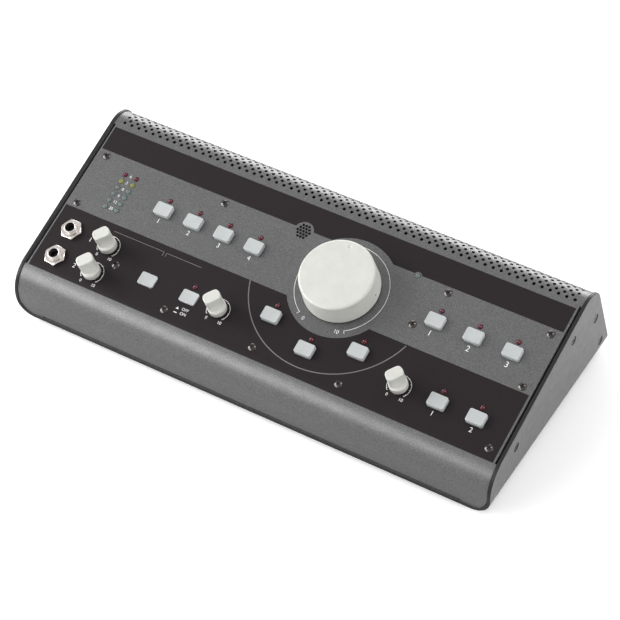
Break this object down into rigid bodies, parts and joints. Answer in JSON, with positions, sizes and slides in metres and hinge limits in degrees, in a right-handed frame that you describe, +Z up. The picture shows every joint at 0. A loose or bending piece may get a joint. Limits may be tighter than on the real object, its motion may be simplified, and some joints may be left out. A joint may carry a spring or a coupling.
{
  "type": "studio monitor controller",
  "caption": "Desktop studio monitor controller: a sloping metal box with a large volume knob, level knobs, push buttons, a lamp meter, headphone jacks and a perforated hood.",
  "frame": {"origin": "middle of the footprint, on the surface that the feet stand on", "axes": "+X to the user's right, +Y to the rear, +Z up; the user faces +Y"},
  "size_m": [0.381, 0.177, 0.0915],
  "materials": {
    "case_paint": "satin",
    "cover_paint": "satin",
    "rear_paint": "satin",
    "foot_rubber": "matte",
    "black_steel": "satin",
    "circuit_board": "satin",
    "spacer_steel": "satin",
    "switch_plastic": "matte",
    "pot_plastic": "matte",
    "plated_steel": "bright",
    "jack_plastic": "matte",
    "socket_metal": "bright",
    "socket_brass": "satin",
    "rocker_plastic": "gloss",
    "red_lens": "gloss",
    "yellow_lens": "gloss",
    "clear_lens": "gloss",
    "knob_plastic": "satin",
    "cap_plastic": "satin"
  },
  "bodies": {
    "chassis": {"tray": "case_paint", "top_cover": "cover_paint", "rear_panel": "rear_paint", "rubber_feet": "foot_rubber", "panel_screws": "black_steel", "rear_screws": "black_steel", "side_screws": "black_steel", "main_board": "circuit_board", "rear_board": "circuit_board", "board_standoffs": "spacer_steel", "switch_bodies": "switch_plastic", "level_pots": "pot_plastic", "volume_pot": "pot_plastic", "volume_pot_nut": "plated_steel", "phones_jacks": "jack_plastic", "phones_jack_nuts": "plated_steel", "rear_jacks": "jack_plastic", "rear_jack_nuts": "plated_steel", "phono_sockets": "socket_metal", "ground_post": "socket_brass", "ground_nut": "plated_steel", "power_inlet": "jack_plastic", "rocker_frame": "jack_plastic", "status_leds": "red_lens", "power_led": "clear_lens", "meter_leds_red": "red_lens", "meter_leds_yellow": "yellow_lens", "meter_leds_green": "clear_lens", "talkback_mic": "socket_metal", "mic_boot": "foot_rubber"},
    "volume_control": {"big_knob": "knob_plastic", "volume_shaft": "spacer_steel"},
    "phones_control_1": {"phones_knob_1": "knob_plastic", "phones_shaft_1": "spacer_steel"},
    "phones_control_2": {"phones_knob_2": "knob_plastic", "phones_shaft_2": "spacer_steel"},
    "studio_control": {"studio_knob": "knob_plastic", "studio_shaft": "spacer_steel"},
    "talkback_control": {"talkback_knob": "knob_plastic", "talkback_shaft": "spacer_steel"},
    "source_cap_1": {"source_button_1": "cap_plastic"},
    "source_cap_2": {"source_button_2": "cap_plastic"},
    "source_cap_3": {"source_button_3": "cap_plastic"},
    "source_cap_4": {"source_button_4": "cap_plastic"},
    "phones_source_cap": {"phones_source_button": "cap_plastic"},
    "studio_cap": {"studio_button": "cap_plastic"},
    "mono_cap": {"mono_button": "cap_plastic"},
    "mute_cap": {"mute_button": "cap_plastic"},
    "dim_cap": {"dim_button": "cap_plastic"},
    "monitor_cap_a": {"monitor_button_a": "cap_plastic"},
    "monitor_cap_b": {"monitor_button_b": "cap_plastic"},
    "monitor_cap_c": {"monitor_button_c": "cap_plastic"},
    "talkback_cap_1": {"talkback_button_1": "cap_plastic"},
    "talkback_cap_2": {"talkback_button_2": "cap_plastic"},
    "power_rocker_body": {"power_rocker": "rocker_plastic"}
  },
  "joints": [
    {"name": "volume_turn", "type": "hinge", "parent": "chassis", "child": "volume_control", "pos_m": [0.0319, -0.00649, 0.06473], "axis": [0, -0.3156, 0.9489], "range_deg": [-145, 145]},
    {"name": "phones_turn_1", "type": "hinge", "parent": "chassis", "child": "phones_control_1", "pos_m": [-0.1376, -0.04236, 0.05279], "axis": [0, 0.3156, -0.9489], "range_deg": [0, 283]},
    {"name": "phones_turn_2", "type": "hinge", "parent": "chassis", "child": "phones_control_2", "pos_m": [-0.1376, -0.06366, 0.04571], "axis": [0, 0.3156, -0.9489], "range_deg": [0, 283]},
    {"name": "studio_turn", "type": "hinge", "parent": "chassis", "child": "studio_control", "pos_m": [-0.03925, -0.05332, 0.04915], "axis": [0, 0.3156, -0.9489], "range_deg": [0, 283]},
    {"name": "talkback_turn", "type": "hinge", "parent": "chassis", "child": "talkback_control", "pos_m": [0.1031, -0.05332, 0.04915], "axis": [0, 0.3156, -0.9489], "range_deg": [0, 283]},
    {"name": "source_press_1", "type": "slide", "parent": "chassis", "child": "source_cap_1", "axis": [0, 0.3156, -0.9489], "range_m": [0, 0.0025], "stiffness_N_per_m": 300, "springref_m": -0.0007},
    {"name": "source_press_2", "type": "slide", "parent": "chassis", "child": "source_cap_2", "axis": [0, 0.3156, -0.9489], "range_m": [0, 0.0025], "stiffness_N_per_m": 300, "springref_m": -0.0007},
    {"name": "source_press_3", "type": "slide", "parent": "chassis", "child": "source_cap_3", "axis": [0, 0.3156, -0.9489], "range_m": [0, 0.0025], "stiffness_N_per_m": 300, "springref_m": -0.0007},
    {"name": "source_press_4", "type": "slide", "parent": "chassis", "child": "source_cap_4", "axis": [0, 0.3156, -0.9489], "range_m": [0, 0.0025], "stiffness_N_per_m": 300, "springref_m": -0.0007},
    {"name": "phones_source_press", "type": "slide", "parent": "chassis", "child": "phones_source_cap", "axis": [0, 0.3156, -0.9489], "range_m": [-0.0025, 0.0005]},
    {"name": "studio_press", "type": "slide", "parent": "chassis", "child": "studio_cap", "axis": [0, 0.3156, -0.9489], "range_m": [-0.0025, 0.0005]},
    {"name": "mono_press", "type": "slide", "parent": "chassis", "child": "mono_cap", "axis": [0, 0.3156, -0.9489], "range_m": [0, 0.0025], "stiffness_N_per_m": 300, "springref_m": -0.0007},
    {"name": "mute_press", "type": "slide", "parent": "chassis", "child": "mute_cap", "axis": [0, 0.3156, -0.9489], "range_m": [0, 0.0025], "stiffness_N_per_m": 300, "springref_m": -0.0007},
    {"name": "dim_press", "type": "slide", "parent": "chassis", "child": "dim_cap", "axis": [0, 0.3156, -0.9489], "range_m": [0, 0.0025], "stiffness_N_per_m": 300, "springref_m": -0.0007},
    {"name": "monitor_press_a", "type": "slide", "parent": "chassis", "child": "monitor_cap_a", "axis": [0, 0.3156, -0.9489], "range_m": [0, 0.0025], "stiffness_N_per_m": 300, "springref_m": -0.0007},
    {"name": "monitor_press_b", "type": "slide", "parent": "chassis", "child": "monitor_cap_b", "axis": [0, 0.3156, -0.9489], "range_m": [0, 0.0025], "stiffness_N_per_m": 300, "springref_m": -0.0007},
    {"name": "monitor_press_c", "type": "slide", "parent": "chassis", "child": "monitor_cap_c", "axis": [0, 0.3156, -0.9489], "range_m": [0, 0.0025], "stiffness_N_per_m": 300, "springref_m": -0.0007},
    {"name": "talkback_press_1", "type": "slide", "parent": "chassis", "child": "talkback_cap_1", "axis": [0, 0.3156, -0.9489], "range_m": [0, 0.0025], "stiffness_N_per_m": 300, "springref_m": -0.0007},
    {"name": "talkback_press_2", "type": "slide", "parent": "chassis", "child": "talkback_cap_2", "axis": [0, 0.3156, -0.9489], "range_m": [0, 0.0025], "stiffness_N_per_m": 300, "springref_m": -0.0007},
    {"name": "power_rock", "type": "hinge", "parent": "chassis", "child": "power_rocker_body", "pos_m": [0.15, 0.07455, 0.03899], "axis": [1, 0, 0], "range_deg": [-18, 0]}
  ]
}
